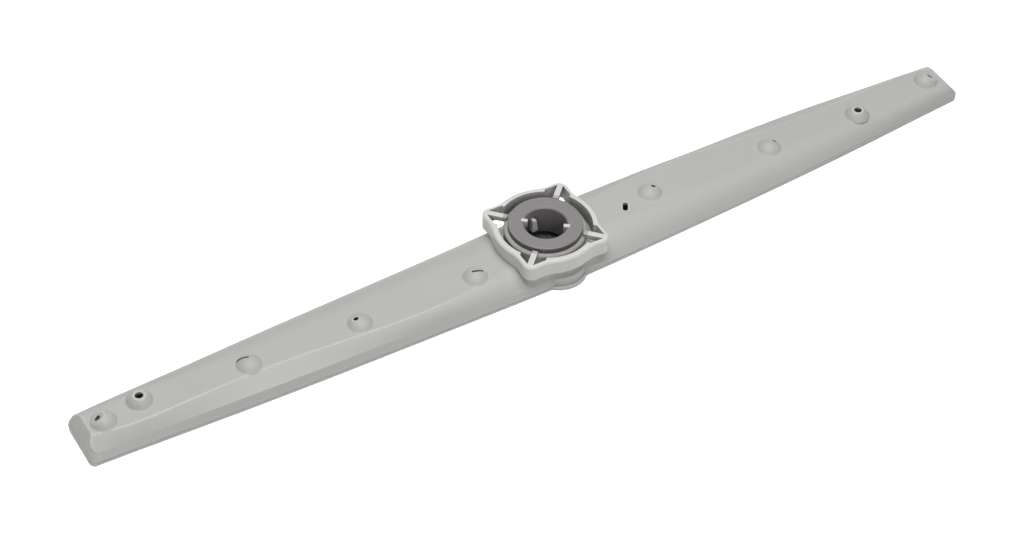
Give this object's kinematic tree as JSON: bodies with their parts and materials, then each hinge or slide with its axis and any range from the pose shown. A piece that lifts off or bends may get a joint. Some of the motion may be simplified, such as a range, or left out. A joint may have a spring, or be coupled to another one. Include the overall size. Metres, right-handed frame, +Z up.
{
  "type": "dishwasher spray arm",
  "caption": "Moulded two-shell spray arm with offset tapering wings and jets on top, turning on a hub with a lobed grip collar and a dark bearing ring round the inlet.",
  "frame": {"origin": "hub axis, on the plane of the flat underside", "axes": "+X along the arm, +Z up the hub axis and out of the inlet"},
  "size_m": [0.5, 0.0562, 0.0201],
  "materials": {
    "arm_plastic": "satin",
    "collar_plastic": "satin",
    "bearing_plastic": "matte"
  },
  "bodies": {
    "arm": {"upper_shell": "arm_plastic", "lower_shell": "arm_plastic"},
    "hub": {"hub_collar": "collar_plastic", "bearing_ring": "bearing_plastic"}
  },
  "joints": [
    {"name": "hub_turn", "type": "hinge", "parent": "arm", "child": "hub", "pos_m": [0, 0, 0.0105], "axis": [0, 0, 1], "continuous": true}
  ]
}
